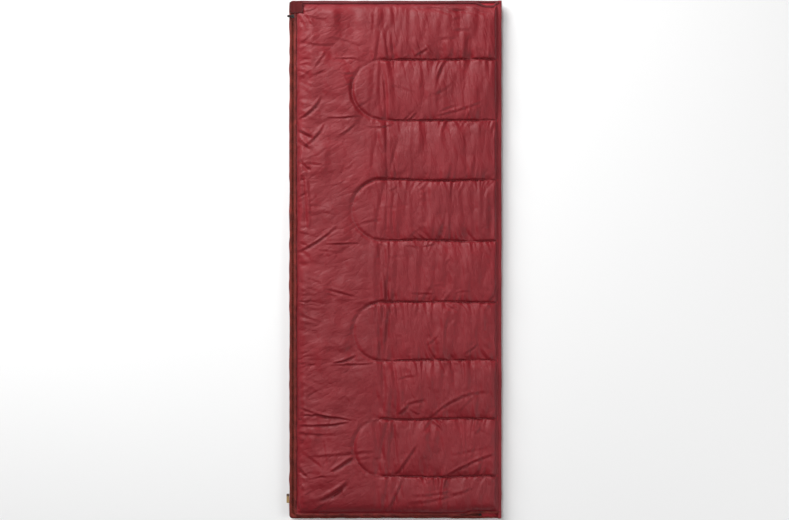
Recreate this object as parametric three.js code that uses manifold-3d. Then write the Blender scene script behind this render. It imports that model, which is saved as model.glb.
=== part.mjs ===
// Rectangular sleeping bag, zipped shut and lying flat on its underside.
//
// Millimetres, +Z up. The head is toward +Y. The folded edge, or spine, is on +X, and the zip runs down
// -X and round the foot. The cover opens about the spine like the lid of a book.
//
// Heights of the layered parts are given as h, their distance from the zip plane: the lower quilt is
// built below that plane and the cover above it, as mirror images.
import * as THREE from 'three';
import { mergeVertices } from 'three/addons/utils/BufferGeometryUtils.js';
import Module from 'manifold-3d';

const wasm = await Module();
wasm.setup();

// ---- driving dimensions ----
const WIDTH = 750; // zip edge to the outside of the spine
const LENGTH = 1830; // head edge to foot edge
const ZIP_PLANE = 28.3; // height of the zip, the spine's hinge line and the middle of the sleeping space
const LABEL_REACH = 10; // how far the side label stands out, which sets the overall box
const SPINE_RADIUS = 4;
const SPINE_CLEARANCE = 2; // between the spine's rolled tape and the quilts beside it
const CORNER_RADIUS = 12;

// ---- layers of one quilt, as distances from the zip plane ----
const LINING = [3.3, 4.8];
const FLANGE = [5.1, 6.6]; // the casing's flat hem, sewn to the lining all round
const CROWN = 28.3; // outside of the casing
const CASING_THICKNESS = 1.5;
const GAP = 0.3; // between parts that touch
const BATTING_GAP = 0.8; // inside the casing, whose facets bow in a little
const PUFF_INSET = 9; // hem width before the filling starts
const PUFF_EDGE = 50; // width over which the quilt rounds down to its hem
const PUFF_CORNER = 75;
const PUFF_SKIRT = 1;

// ---- edge binding: a folded tape, C-shaped in section ----
const BIND_WEB = 1.5;
const BIND_OUTER_LEG = [6.9, 8.4];
const BIND_THIN_LEG = [2.4, 3.0]; // head: a single fold, so the mouth stays open
const BIND_ZIP_LEG = [0.8, 3.0]; // zip edge: a double fold that carries the zip tape
const HEM_INSET = BIND_WEB + GAP;
const LOWER_ZIP_BIND = 6.5; // how far each binding reaches in from its edge
const PLAIN_BIND = 8;

// ---- zip: places across it are insets from the lower quilt's edge ----
const CHAIN = 12.5; // middle of the chain
const COVER_EDGE = 18.5;
const COIL = [0.7, 3.0]; // from the middle of the chain
const COIL_HALF = 1.3;
const TAPE_HALF = 0.5;
const LOWER_TAPE = [1.0, 9.2];
const UPPER_TAPE = [15.8, 26.0];
const ZIP_END_X = 300; // far end of the foot run
const LOWER_ROW_TOP = 872; // the lower row runs on past the cover's row, under the parked slider
const UPPER_ROW_TOP = 848;
const TAPE_TAIL = 6;

const SLIDER_Y = 860; // middle of the slider when the bag is shut
const SLIDER_LENGTH = 12;
const SLIDER_HALF_WIDTH = 5.5;
const SLIDER_HALF_HEIGHT = 2.8;
const SLIDER_PLATE = 1.0;
const SLIDER_SLOT = 0.9; // half height of the side slots that pass the tapes
const SLIDER_FLANGE = 1.7;
const SLIDER_NECK = 0.4; // half width of the wedge between the rows
const BRIDGE_HALF = 0.8;
const PULL_AXIS = 6.0; // the bridge bar's height above the zip plane
const PULL_REACH = 20.3; // from the bridge bar to the tip
const PULL_DROOP = THREE.MathUtils.degToRad(10);

// ---- closure tab over the head end of the zip ----
const TAB_Y = [870, 911];
const PATCH_Y = [879, 906];
const TAB_HINGE = { x: -321, z: 47.2 };
const TAB_THICKNESS = 1.2;

const LABEL_Y = [-861, -829];

// ---- outlines ----
const X_ZIP = -(WIDTH + LABEL_REACH) / 2 + LABEL_REACH;
const X_QUILT = (WIDTH + LABEL_REACH) / 2 - 2 * SPINE_RADIUS - SPINE_CLEARANCE;
const X_HINGE = X_QUILT + SPINE_CLEARANCE + SPINE_RADIUS;
const Y_HEAD = LENGTH / 2;
const Y_FOOT = -LENGTH / 2;
const COVER_HEAD_STEP = 4; // the cover stops this far short of the lower quilt's head edge

const lowerEdge = { x0: X_ZIP, x1: X_QUILT, y0: Y_FOOT, y1: Y_HEAD, r: CORNER_RADIUS };
const coverEdge = {
  x0: X_ZIP + COVER_EDGE,
  x1: X_QUILT,
  y0: Y_FOOT + COVER_EDGE,
  y1: Y_HEAD - COVER_HEAD_STEP,
  r: CORNER_RADIUS,
};

// ---- materials ----
const cloth = (color) => new THREE.MeshStandardMaterial({ color, roughness: 0.55, metalness: 0 });
const METAL = () => new THREE.MeshStandardMaterial({ color: 0x3b3733, roughness: 0.4, metalness: 0.8 });
const COLOURS = { casing: 0x87343a, lining: 0xa83a3f, batting: 0xeceae4, tape: 0x5b4540, coil: 0x33291f };

// ---- solids ----
const bag = new THREE.Group();

function solidOf(geometry) {
  const bare = geometry.clone();
  bare.deleteAttribute('normal');
  bare.deleteAttribute('uv');
  const merged = mergeVertices(bare, 1e-4);
  const vertProperties = new Float32Array(merged.attributes.position.array);
  const triVerts = new Uint32Array(merged.index.array);
  return new wasm.Manifold(new wasm.Mesh({ numProp: 3, vertProperties, triVerts }));
}

function geometryOf(solid) {
  const mesh = solid.getMesh();
  const geometry = new THREE.BufferGeometry();
  geometry.setAttribute('position', new THREE.BufferAttribute(mesh.vertProperties, 3));
  geometry.setIndex(new THREE.BufferAttribute(mesh.triVerts, 1));
  return geometry;
}

function add(name, solid, material, parent = bag) {
  const mesh = new THREE.Mesh(geometryOf(solid), material);
  mesh.name = name;
  parent.add(mesh);
  return mesh;
}

// The z range of a layer between distances h0 and h1 from the zip plane. side is 1 above it, -1 below.
function heights(side, h0, h1) {
  const a = ZIP_PLANE + side * h0;
  const b = ZIP_PLANE + side * h1;
  return [Math.min(a, b), Math.max(a, b)];
}

function prism(shape, z0, z1, curveSegments = 5) {
  const geometry = new THREE.ExtrudeGeometry(shape, { depth: z1 - z0, bevelEnabled: false, curveSegments });
  return solidOf(geometry.translate(0, 0, z0));
}

function box(x0, x1, y0, y1, z0, z1) {
  const geometry = new THREE.BoxGeometry(x1 - x0, y1 - y0, z1 - z0);
  return solidOf(geometry.translate((x0 + x1) / 2, (y0 + y1) / 2, (z0 + z1) / 2));
}

// A rectangle with round corners, inset from an edge outline.
function roundedRectangle(edge, inset, radius = edge.r) {
  const [x0, x1, y0, y1] = [edge.x0 + inset, edge.x1 - inset, edge.y0 + inset, edge.y1 - inset];
  const shape = new THREE.Shape();
  shape.moveTo(x0 + radius, y0);
  shape.absarc(x1 - radius, y0 + radius, radius, -Math.PI / 2, 0, false);
  shape.absarc(x1 - radius, y1 - radius, radius, 0, Math.PI / 2, false);
  shape.absarc(x0 + radius, y1 - radius, radius, Math.PI / 2, Math.PI, false);
  shape.absarc(x0 + radius, y0 + radius, radius, Math.PI, 1.5 * Math.PI, false);
  return shape;
}

// A flat cushion: straight up for a short skirt, then rounding over to a flat crown.
function puff(edge, inset, base, crown, side) {
  const rise = crown - base - PUFF_SKIRT;
  const geometry = new THREE.ExtrudeGeometry(roundedRectangle(edge, inset, PUFF_CORNER), {
    depth: 2 * PUFF_SKIRT,
    bevelEnabled: true,
    bevelThickness: rise,
    bevelSize: PUFF_EDGE,
    bevelOffset: -PUFF_EDGE,
    bevelSegments: 5,
    curveSegments: 6,
  });
  const middle = ZIP_PLANE + side * base;
  const whole = solidOf(geometry.translate(0, 0, middle - PUFF_SKIRT));
  const [z0, z1] = side > 0 ? [middle, middle + 100] : [middle - 100, middle];
  return whole.intersect(box(-1000, 1000, -1000, 1000, z0, z1));
}

function liningOf(edge, side) {
  return prism(roundedRectangle(edge, HEM_INSET), ...heights(side, ...LINING));
}

function casingOf(edge, side) {
  const hem = prism(roundedRectangle(edge, HEM_INSET), ...heights(side, ...FLANGE));
  const outer = puff(edge, PUFF_INSET, FLANGE[0], CROWN, side);
  const inner = puff(edge, PUFF_INSET + CASING_THICKNESS, FLANGE[0] - 0.5, CROWN - CASING_THICKNESS, side);
  return hem.add(outer).subtract(inner);
}

function battingOf(edge, side) {
  const inset = PUFF_INSET + CASING_THICKNESS + BATTING_GAP;
  return puff(edge, inset, FLANGE[0], CROWN - CASING_THICKNESS - BATTING_GAP, side);
}

// A C-shaped binding all round an edge, before it is cut into its runs.
function bindingRing(edge, side, reach, innerLeg) {
  const [z0, z1] = heights(side, innerLeg[0], BIND_OUTER_LEG[1]);
  const [s0, s1] = heights(side, innerLeg[1], BIND_OUTER_LEG[0]);
  const outline = roundedRectangle(edge, 0);
  outline.holes.push(roundedRectangle(edge, reach, CORNER_RADIUS - reach));
  const slot = roundedRectangle(edge, BIND_WEB, CORNER_RADIUS - BIND_WEB);
  return prism(outline, z0, z1).subtract(prism(slot, s0, s1));
}

function headBinding(edge, side) {
  const ring = bindingRing(edge, side, PLAIN_BIND, BIND_THIN_LEG);
  return ring.intersect(box(edge.x0, edge.x1, edge.y1 - PLAIN_BIND, edge.y1, -10, 100));
}

// One tape down the zip side, round the foot corner and along the foot.
function zipBinding(edge, side, reach) {
  const ring = bindingRing(edge, side, reach, BIND_ZIP_LEG);
  const footEnd = edge.x1 - CORNER_RADIUS - GAP;
  const headEnd = edge.y1 - CORNER_RADIUS - GAP;
  const besideZip = box(edge.x0, edge.x0 + reach, edge.y0, headEnd, -10, 100);
  const alongFoot = box(edge.x0, footEnd, edge.y0, edge.y0 + reach, -10, 100);
  const size = 2 * CORNER_RADIUS;
  const corner = box(edge.x0, edge.x0 + size, edge.y0, edge.y0 + size, -10, 100);
  return ring.intersect(besideZip.add(alongFoot).add(corner));
}

// A strip of the zip between two insets, from y = top down the side, round the foot corner to x = end.
function zipStrip(from, to, half, top, end) {
  const shape = new THREE.Shape();
  const corner = (inset, clockwise) => {
    const [a, b] = clockwise ? [1.5 * Math.PI, Math.PI] : [Math.PI, 1.5 * Math.PI];
    const toCentre = inset + CORNER_RADIUS;
    shape.absarc(X_ZIP + toCentre, Y_FOOT + toCentre, CORNER_RADIUS, a, b, clockwise);
  };
  shape.moveTo(X_ZIP + to, top);
  shape.lineTo(X_ZIP + from, top);
  corner(from, false);
  shape.lineTo(end, Y_FOOT + from);
  shape.lineTo(end, Y_FOOT + to);
  corner(to, true);
  return prism(shape, ZIP_PLANE - half, ZIP_PLANE + half, 8);
}

// A box whose x limits are insets from the zip edge, and whose heights are measured from the zip plane.
function zipBox(in0, in1, y0, y1, h0, h1) {
  return box(X_ZIP + in0, X_ZIP + in1, y0, y1, ZIP_PLANE + h0, ZIP_PLANE + h1);
}

// ---- lower quilt ----
add('lower_casing', casingOf(lowerEdge, -1), cloth(COLOURS.casing));
add('lower_batting', battingOf(lowerEdge, -1), cloth(COLOURS.batting));
add('lower_lining', liningOf(lowerEdge, -1), cloth(COLOURS.lining));
add('lower_head_binding', headBinding(lowerEdge, -1), cloth(COLOURS.tape));
add('lower_zip_binding', zipBinding(lowerEdge, -1, LOWER_ZIP_BIND), cloth(COLOURS.tape));

// ---- cover ----
add('cover_casing', casingOf(coverEdge, 1), cloth(COLOURS.casing));
add('cover_batting', battingOf(coverEdge, 1), cloth(COLOURS.batting));
add('cover_lining', liningOf(coverEdge, 1), cloth(COLOURS.lining));
add('cover_head_binding', headBinding(coverEdge, 1), cloth(COLOURS.tape));
add('cover_zip_binding', zipBinding(coverEdge, 1, PLAIN_BIND), cloth(COLOURS.tape));

// ---- spine: a tape rolled round the joined edges, with the hinge line through its middle ----
const spineRoll = new THREE.CylinderGeometry(SPINE_RADIUS, SPINE_RADIUS, LENGTH, 16);
spineRoll.translate(X_HINGE, 0, ZIP_PLANE);
add('spine_binding', solidOf(spineRoll), cloth(COLOURS.tape));

// ---- zip rows ----
const tapeTop = LOWER_ROW_TOP + TAPE_TAIL;
const tapeEnd = ZIP_END_X + 2 * TAPE_TAIL;
add('lower_zip_tape', zipStrip(...LOWER_TAPE, TAPE_HALF, tapeTop, tapeEnd), cloth(COLOURS.tape));
add('cover_zip_tape', zipStrip(...UPPER_TAPE, TAPE_HALF, UPPER_ROW_TOP, ZIP_END_X), cloth(COLOURS.tape));
add('lower_zip_coil', zipStrip(CHAIN - COIL[1], CHAIN - COIL[0], COIL_HALF, LOWER_ROW_TOP, ZIP_END_X),
  cloth(COLOURS.coil));
add('cover_zip_coil', zipStrip(CHAIN + COIL[0], CHAIN + COIL[1], COIL_HALF, UPPER_ROW_TOP, ZIP_END_X),
  cloth(COLOURS.coil));

// ---- fittings at the ends of the zip ----
// The stop is crimped over the lower tape's edge, past the end of the lower row.
const stopY = [LOWER_ROW_TOP + GAP, LOWER_ROW_TOP + 4];
const stopBlock = zipBox(7.4, CHAIN - 0.4, ...stopY, -1.5, 1.5);
const stopSlot = zipBox(7.0, LOWER_TAPE[1] + GAP, stopY[0] - 1, stopY[1] + 1, -0.8, 0.8);
add('zip_top_stop', stopBlock.subtract(stopSlot), METAL());

// The retaining box ends the lower row. Its open channel takes the pin on the end of the cover's row.
function footBox(x0, x1, in0, in1, h0, h1) {
  return box(x0, x1, Y_FOOT + in0, Y_FOOT + in1, ZIP_PLANE + h0, ZIP_PLANE + h1);
}
const boxX = [ZIP_END_X + GAP, ZIP_END_X + 9];
const pinInsets = [CHAIN + COIL[0] + 0.2, CHAIN + COIL[1] - 0.2];
const retainer = footBox(...boxX, LOWER_TAPE[1] + GAP, CHAIN + COIL[1] + 1.2, -2.3, 1.6)
  .subtract(footBox(boxX[0] - 1, boxX[1] + 1, pinInsets[0] - 0.5, pinInsets[1] + 0.5, -1.3, 3));
add('zip_retaining_box', retainer, METAL());
add('zip_insertion_pin', footBox(...boxX, ...pinInsets, -0.9, 0.9), METAL());

// ---- slider: two plates joined by the wedge that runs between the rows ----
const sliderY = [SLIDER_Y - SLIDER_LENGTH / 2, SLIDER_Y + SLIDER_LENGTH / 2];
const sliderIn = [CHAIN - SLIDER_HALF_WIDTH, CHAIN + SLIDER_HALF_WIDTH];
const plateInner = SLIDER_HALF_HEIGHT - SLIDER_PLATE;

function sliderHalf(side) {
  const range = (h0, h1) => (side > 0 ? [h0, h1] : [-h1, -h0]);
  const plate = zipBox(...sliderIn, ...sliderY, ...range(plateInner, SLIDER_HALF_HEIGHT));
  const flangeHeights = range(SLIDER_SLOT, SLIDER_HALF_HEIGHT - 0.1);
  const left = zipBox(sliderIn[0], sliderIn[0] + SLIDER_FLANGE, ...sliderY, ...flangeHeights);
  const right = zipBox(sliderIn[1] - SLIDER_FLANGE, sliderIn[1], ...sliderY, ...flangeHeights);
  return plate.add(left).add(right);
}

function sliderBridge() {
  const [y0, y1] = [SLIDER_Y - 4.5, SLIDER_Y + 4.5];
  const top = PULL_AXIS + 0.6;
  const block = zipBox(CHAIN - BRIDGE_HALF, CHAIN + BRIDGE_HALF, y0, y1, SLIDER_HALF_HEIGHT - 0.3, top);
  const eye = zipBox(CHAIN - 2, CHAIN + 2, y0 + 1.4, y1 - 1.4, SLIDER_HALF_HEIGHT, PULL_AXIS - 0.6);
  return block.subtract(eye);
}

const neck = zipBox(CHAIN - SLIDER_NECK, CHAIN + SLIDER_NECK, sliderY[1] - 3.5, sliderY[1],
  -plateInner - 0.2, plateInner + 0.2);
add('zip_slider', sliderHalf(1).add(sliderHalf(-1)).add(neck).add(sliderBridge()), METAL());

// ---- pull: a loop through the bridge with a flat grip, drooping over the zip edge ----
const pullPivot = new THREE.Group();
pullPivot.position.set(X_ZIP + CHAIN, SLIDER_Y, ZIP_PLANE + PULL_AXIS);
pullPivot.rotation.y = -PULL_DROOP;
bag.add(pullPivot);

function pullSolid() {
  const [eyeInner, eyeOuter, loopLength, wire] = [1.2, 2.0, 5, 2.0];
  const slotShape = (shape, radius, end) => {
    shape.moveTo(end, -radius);
    shape.lineTo(0, -radius);
    shape.absarc(0, 0, radius, -Math.PI / 2, Math.PI / 2, false);
    shape.lineTo(end, radius);
    shape.closePath();
    return shape;
  };
  const outline = slotShape(new THREE.Shape(), eyeOuter, -loopLength);
  outline.holes.push(slotShape(new THREE.Path(), eyeInner, -loopLength + 0.8));
  // Drawn across the zip and upward, then turned so that its depth lies along the zip.
  const loop = new THREE.ExtrudeGeometry(outline, { depth: wire, bevelEnabled: false, curveSegments: 8 });
  loop.translate(0, 0, -wire / 2).rotateX(Math.PI / 2);
  const grip = new THREE.Shape();
  grip.moveTo(-loopLength, -3);
  grip.lineTo(-loopLength, 3);
  grip.lineTo(-PULL_REACH + 4, 4.2);
  grip.absarc(-PULL_REACH + 4, 0, 4, Math.PI / 2, 1.5 * Math.PI, false);
  grip.closePath();
  const plate = new THREE.ExtrudeGeometry(grip, { depth: 1.6, bevelEnabled: false, curveSegments: 8 });
  plate.translate(0, 0, -0.8);
  const bar = new THREE.BoxGeometry(1.2, 6, 3.2).translate(-loopLength - 0.4, 0, 0);
  return solidOf(loop).add(solidOf(plate)).add(solidOf(bar));
}
add('zip_pull', pullSolid(), METAL(), pullPivot);

// ---- closure tab: bends over the cover's edge binding, hooks down on the lower quilt's corner ----
function ribbon(points, thickness, y0, y1) {
  const shape = new THREE.Shape();
  const upper = points.map(([x, z]) => new THREE.Vector2(x, z + thickness));
  const lower = points.map(([x, z]) => new THREE.Vector2(x, z));
  shape.setFromPoints([...lower, ...upper.reverse()]);
  const geometry = new THREE.ExtrudeGeometry(shape, { depth: y1 - y0, bevelEnabled: false });
  return solidOf(geometry.rotateX(Math.PI / 2).translate(0, y1, 0));
}

const patchTop = ZIP_PLANE + 2.5;
const tabLine = [
  [X_ZIP + 0.5, patchTop + GAP],
  [X_ZIP + 15.5, patchTop + GAP],
  [X_ZIP + 18.0, ZIP_PLANE + 9.4],
  [X_ZIP + 27.5, ZIP_PLANE + 10.6],
  [TAB_HINGE.x, TAB_HINGE.z],
];
add('closure_tab', ribbon(tabLine, TAB_THICKNESS, ...TAB_Y), cloth(COLOURS.tape));
add('tab_hook_patch', zipBox(1.0, 15.2, ...PATCH_Y, 1.3, 2.5), cloth(COLOURS.coil));
add('lower_loop_patch', zipBox(0.5, 17.0, ...PATCH_Y, -TAPE_HALF, 1.0), cloth(COLOURS.coil));

// ---- side label: a folded woven tag sewn into the zip edge near the foot ----
add('side_label', box(X_ZIP - LABEL_REACH, X_ZIP - GAP, ...LABEL_Y, ZIP_PLANE - 5.6, ZIP_PLANE - 4.0),
  cloth(0xb08a4e));

export default bag;
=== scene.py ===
"""A rectangular sleeping bag, zipped shut and lying flat, dressed round its CAD frame.

Metres, in the frame's own axes: +Y toward the head, +X toward the spine, +Z up. Each quilt is a casing
and a lining over a filling. A layer's height is its distance from the zip plane, outward from the filling:
up for the cover's casing, down for the lower quilt's, and the other way round for the linings. The fabric
layers are relaxed as cloth on regular grids, gathered at their seams and held up by the filling.
"""

import math

import bpy
import numpy as np
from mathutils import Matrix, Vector
from mathutils.bvhtree import BVHTree


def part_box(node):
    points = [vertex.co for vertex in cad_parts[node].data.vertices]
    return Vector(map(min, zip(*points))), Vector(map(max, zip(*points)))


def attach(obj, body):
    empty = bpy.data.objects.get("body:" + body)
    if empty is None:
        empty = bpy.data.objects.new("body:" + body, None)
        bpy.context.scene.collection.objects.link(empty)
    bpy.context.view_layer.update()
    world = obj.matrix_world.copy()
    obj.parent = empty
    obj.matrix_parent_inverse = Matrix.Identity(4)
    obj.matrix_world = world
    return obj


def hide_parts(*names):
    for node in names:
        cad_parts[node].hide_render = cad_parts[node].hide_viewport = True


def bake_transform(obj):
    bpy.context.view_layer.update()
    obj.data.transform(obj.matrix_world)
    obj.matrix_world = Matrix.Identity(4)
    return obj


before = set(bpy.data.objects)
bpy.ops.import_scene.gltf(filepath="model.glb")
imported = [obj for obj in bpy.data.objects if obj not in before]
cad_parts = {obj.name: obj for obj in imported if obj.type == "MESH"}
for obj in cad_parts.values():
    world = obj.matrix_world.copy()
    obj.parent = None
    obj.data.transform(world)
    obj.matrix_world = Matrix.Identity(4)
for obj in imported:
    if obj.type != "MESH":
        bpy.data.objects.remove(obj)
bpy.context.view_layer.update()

F32 = np.float32
MM = 0.001

# ---- places taken from the frame ----
cover_low, cover_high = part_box("cover_casing")
lower_low, lower_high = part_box("lower_casing")
spine_low, spine_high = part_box("spine_binding")
ZIP_PLANE = (spine_low[2] + spine_high[2]) / 2
HINGE_X = (spine_low[0] + spine_high[0]) / 2
SPINE_JOIN = HINGE_X - 0.0045  # where the layers go into the spine's binding
COVER_EDGES = (cover_low[0], SPINE_JOIN, cover_low[1], cover_high[1])
LOWER_EDGES = (lower_low[0], SPINE_JOIN, lower_low[1], lower_high[1])

# ---- quilting: four U-shaped seams, open toward the spine, each as its upper and lower y ----
SEAM_ROWS = [(0.704, 0.491), (0.280, 0.066), (-0.151, -0.356), (-0.562, -0.764)]
SEAM_YS = [y for pair in SEAM_ROWS for y in pair]
SEAM_ENDS = [((high + low) / 2, (high - low) / 2) for high, low in SEAM_ROWS]  # middles and radii
ARC_X = -0.042  # centre of every seam's round end
ARC_RELIEF = 0.011  # how much less the round ends are drawn in
SLACK = 0.009  # how much deeper than the seams a furrow beside the zip may go
TAPE_REACH = 0.008  # hem under the edge binding
CORNER_RADIUS = 0.012  # of the zip-side corners

# ---- layers: heights of the hem, the stitched seams and the crown between them, and the most allowed ----
COVER_CASING = {"hem": 0.0058, "seam": 0.0145, "crown": 0.0320, "most": 0.0385}
LOWER_CASING = {"hem": 0.0058, "seam": 0.0150, "crown": 0.0276, "most": ZIP_PLANE - 0.0004}
LINING = {"hem": -0.0040, "seam": -0.0128, "crown": -0.0012, "most": -0.0007}
CASING_JOIN, LINING_JOIN = 0.0032, -0.0014  # heights at the spine


# ---------------- Cloth ----------------
def lattice_noise(shape, cell, seed):
    """Smooth noise of unit spread, with features about cell = (rows, columns) samples wide."""
    rng = np.random.default_rng(seed)
    knots = rng.standard_normal((int(shape[0] / cell[0]) + 5, int(shape[1] / cell[1]) + 5))

    def basis(count, size):
        at = np.arange(count) / size + 1 + rng.random()
        whole = np.floor(at).astype(int)
        t = at - whole
        weights = ((1 - t) ** 3, 3 * t**3 - 6 * t**2 + 4, -3 * t**3 + 3 * t**2 + 3 * t + 1, t**3)
        return whole, [w / 6 for w in weights]

    rows, row_weights = basis(shape[0], cell[0])
    columns, column_weights = basis(shape[1], cell[1])
    partly = sum(w[:, None] * knots[rows - 1 + k] for k, w in enumerate(row_weights))
    noise = sum(w[None, :] * partly[:, columns - 1 + k] for k, w in enumerate(column_weights))
    return noise / noise.std()


def noise_at(u, v, seed):
    """Smooth noise between -1 and 1 at any places, with features about one unit across."""
    table = np.random.default_rng(seed).uniform(-1, 1, (61, 67))
    i, j = np.floor(u).astype(int), np.floor(v).astype(int)
    f, g = smoothstep(u - i), smoothstep(v - j)
    near, far = table[i % 61, j % 67], table[(i + 1) % 61, j % 67]
    near_next, far_next = table[i % 61, (j + 1) % 67], table[(i + 1) % 61, (j + 1) % 67]
    return (near * (1 - f) + far * f) * (1 - g) + (near_next * (1 - f) + far_next * f) * g


def laplacian(z):
    out = np.zeros_like(z)
    out[1:-1, 1:-1] = z[1:-1, 2:] + z[1:-1, :-2] + z[2:, 1:-1] + z[:-2, 1:-1] - 4 * z[1:-1, 1:-1]
    return out


def pull_together(a, b, length, free_a, free_b, stiffness):
    """Moves each pair of points towards its rest length."""
    gap = b - a
    distance = np.sqrt(np.einsum("ijk,ijk->ij", gap, gap))
    share = (stiffness * (distance - length) / (distance * (free_a + free_b) + F32(1e-9)))[..., None]
    gap *= share
    a += gap * free_a[..., None]
    b -= gap * free_b[..., None]


def thread_families(points, free, spare):
    """The grid's threads and diagonals, in sets that share no point, with their rest lengths."""
    rows, columns = free.shape
    every, left, right = slice(None), slice(0, columns - 1), slice(1, columns)
    pairs = []
    for start in (0, 1):
        across, down = (columns - start) // 2 * 2, (rows - start) // 2 * 2
        odd, even = slice(start, start + across, 2), slice(start + 1, start + across, 2)
        pairs.append(((every, odd), (every, even), spare[0], 0.9))
        odd, even = slice(start, start + down, 2), slice(start + 1, start + down, 2)
        pairs.append(((odd, every), (even, every), spare[1], 0.9))
        pairs.append(((odd, left), (even, right), (spare[0] + spare[1]) / 2, 0.3))
        pairs.append(((odd, right), (even, left), (spare[0] + spare[1]) / 2, 0.3))
    families = []
    for a, b, extra, stiffness in pairs:
        length = np.linalg.norm(points[b] - points[a], axis=2) * (1 + (extra[a] + extra[b]) / 2)
        families.append((points[a], points[b], length.astype(F32), free[a], free[b], F32(stiffness)))
    return families


def relax(points, free, spare, target, ceiling, steps, bend=0.0025, damping=0.90):
    """Position-based cloth: the filling pushes it up to target, and nothing lets it past the ceiling."""
    families = thread_families(points, free, spare)
    velocity = np.zeros_like(points)
    movable = (free > 0)[..., None]
    height = points[..., 2]
    for _ in range(steps):
        before = points.copy()
        velocity[..., 2] += np.clip((target - height) * F32(0.05), 0, F32(3e-4)) - F32(1.2e-5)
        velocity *= F32(damping)
        points += velocity * movable
        for family in families:
            pull_together(*family)
        height -= F32(bend) * laplacian(laplacian(height)) * free
        np.minimum(height, ceiling, out=height)
        velocity[:] = points - before


def units(vectors):
    return vectors / np.linalg.norm(vectors, axis=1, keepdims=True)


# ---------------- Quilting layout ----------------
def seam_distance(x, y):
    """Distance to the nearest quilting seam."""
    nearest = np.full(x.shape, 1.0)
    for (high, low), (middle, radius) in zip(SEAM_ROWS, SEAM_ENDS):
        arc = np.abs(np.hypot(x - ARC_X, y - middle) - radius)
        straight = np.minimum(np.abs(y - high), np.abs(y - low))
        nearest = np.minimum(nearest, np.where(x < ARC_X, arc, straight))
    return nearest


def edge_distance(x, y, edges):
    """Distance in from a quilt's outline, whose zip-side corners are round."""
    x0, x1, y0, y1 = edges
    from_ends = np.minimum(y - y0, y1 - y)
    across, beyond = x0 + CORNER_RADIUS - x, CORNER_RADIUS - from_ends
    in_corner = (across > 0) & (beyond > 0)
    straight = np.minimum(np.minimum(x - x0, x1 - x), from_ends)
    return np.where(in_corner, CORNER_RADIUS - np.hypot(across, beyond), straight)


def smoothstep(t):
    t = np.clip(t, 0, 1)
    return t * t * (3 - 2 * t)


def fade(distance, reach):
    """1 at no distance, falling away over reach."""
    return np.exp(-np.maximum(distance, 0) / reach)


def rise_from(distance, reach):
    return 1 - fade(distance, reach)


def bell(distance, width):
    return np.exp(-((distance / width) ** 2))


def filled_share(x, y, edges):
    """0 in the hems and 1 well inside them. The quilt fills out fastest beside the spine."""
    x0, x1, y0, y1 = edges
    across = rise_from(x - (x0 + TAPE_REACH), 0.017) * rise_from(x1 - 0.003 - x, 0.008)
    return across * rise_from(y - (y0 + TAPE_REACH), 0.015) * rise_from(y1 - TAPE_REACH - y, 0.015)


def spine_side(x):
    """0 beside the zip, where only the seams' round ends reach, and 1 toward the spine."""
    return smoothstep((x - ARC_X + 0.03) / 0.08)


def seam_floor(x, y, edges, layer):
    """The height to which a seam draws the layer in."""
    bottom = layer["seam"] + (1 - spine_side(x)) * ARC_RELIEF
    return layer["hem"] + (bottom - layer["hem"]) * filled_share(x, y, edges) ** 0.5


def slack(x, y):
    """How much deeper than the seams a casing's furrows may go, where there is no seam to meet."""
    return SLACK * (1 - spine_side(x)) * (1 - bell(seam_distance(x, y), 0.012))


def quilted_heights(x, y, edges, layer, waves=0.0):
    """The layer's height before it wrinkles: crowned between the seams, and drawn in at them and the hems."""
    share = filled_share(x, y, edges)
    crown = layer["hem"] + (layer["crown"] + waves - layer["hem"]) * share
    seam = seam_distance(x, y)
    straight = spine_side(x)
    sharp = 0.38 * rise_from(seam, 0.0021) + 0.62 * rise_from(seam, 0.030)
    groove = straight * sharp + (1 - straight) * (1 - bell(seam, 0.0062))
    bottom = seam_floor(x, y, edges, layer)
    return np.where(crown > bottom, bottom + (crown - bottom) * groove, crown)


def seam_drift(x, y, edges):
    """How far a sewn line strays from straight: nothing at the hems, a few millimetres inside."""
    room = rise_from(edge_distance(x, y, edges), 0.05)
    sway = 0.0019 * np.sin(11 * x + 5 * y + 1) + 0.0012 * np.sin(23 * x - 17 * y)
    return room * (sway + 0.0009 * noise_at(x / 0.017, y / 0.06, 90))


def head_dip(x):
    """How far the cover's head edge sags back from the lower quilt's, near the spine."""
    return 0.0135 * smoothstep((x - 0.282) / 0.045) * (1 - smoothstep((x - 0.350) / 0.014))


def foot_ease(x):
    """How far the cover's foot edge lies out over the zip, everywhere but at the retaining box."""
    return 0.0085 * (1 - smoothstep((x - 0.245) / 0.035))


def cover_ease(x, y):
    """How far the cover's fabric is drawn along y by its two stray hems."""
    near_head, near_foot = fade(COVER_EDGES[3] - y, 0.035), fade(y - COVER_EDGES[2], 0.050)
    return -head_dip(x) * near_head - foot_ease(x) * near_foot


def strayed(x, y, edges):
    """y with the seams' sway and, on the cover, the pull of its stray hems."""
    y = y + seam_drift(x, y, edges)
    return y + cover_ease(x, y) if edges is COVER_EDGES else y


def quilt_grid(edges, pitch):
    """A regular grid over a quilt, with a row along every straight seam."""
    x0, x1, y0, y1 = edges
    stops = [y0, *sorted(SEAM_YS), y1]
    rows = [np.array([y0])]
    for a, b in zip(stops[:-1], stops[1:]):
        share = np.linspace(0, 1, round((b - a) / pitch) + 1)[1:]
        share -= 0.36 * np.sin(2 * math.pi * share) / (2 * math.pi)  # closer rows beside the seams
        rows.append(a + (b - a) * share)
    share = np.linspace(0, 1, round((x1 - x0) / pitch) + 1)
    share += 0.1 * share * (1 - share)  # closer columns toward the spine
    return np.meshgrid(x0 + (x1 - x0) * share, np.concatenate(rows))


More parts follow.
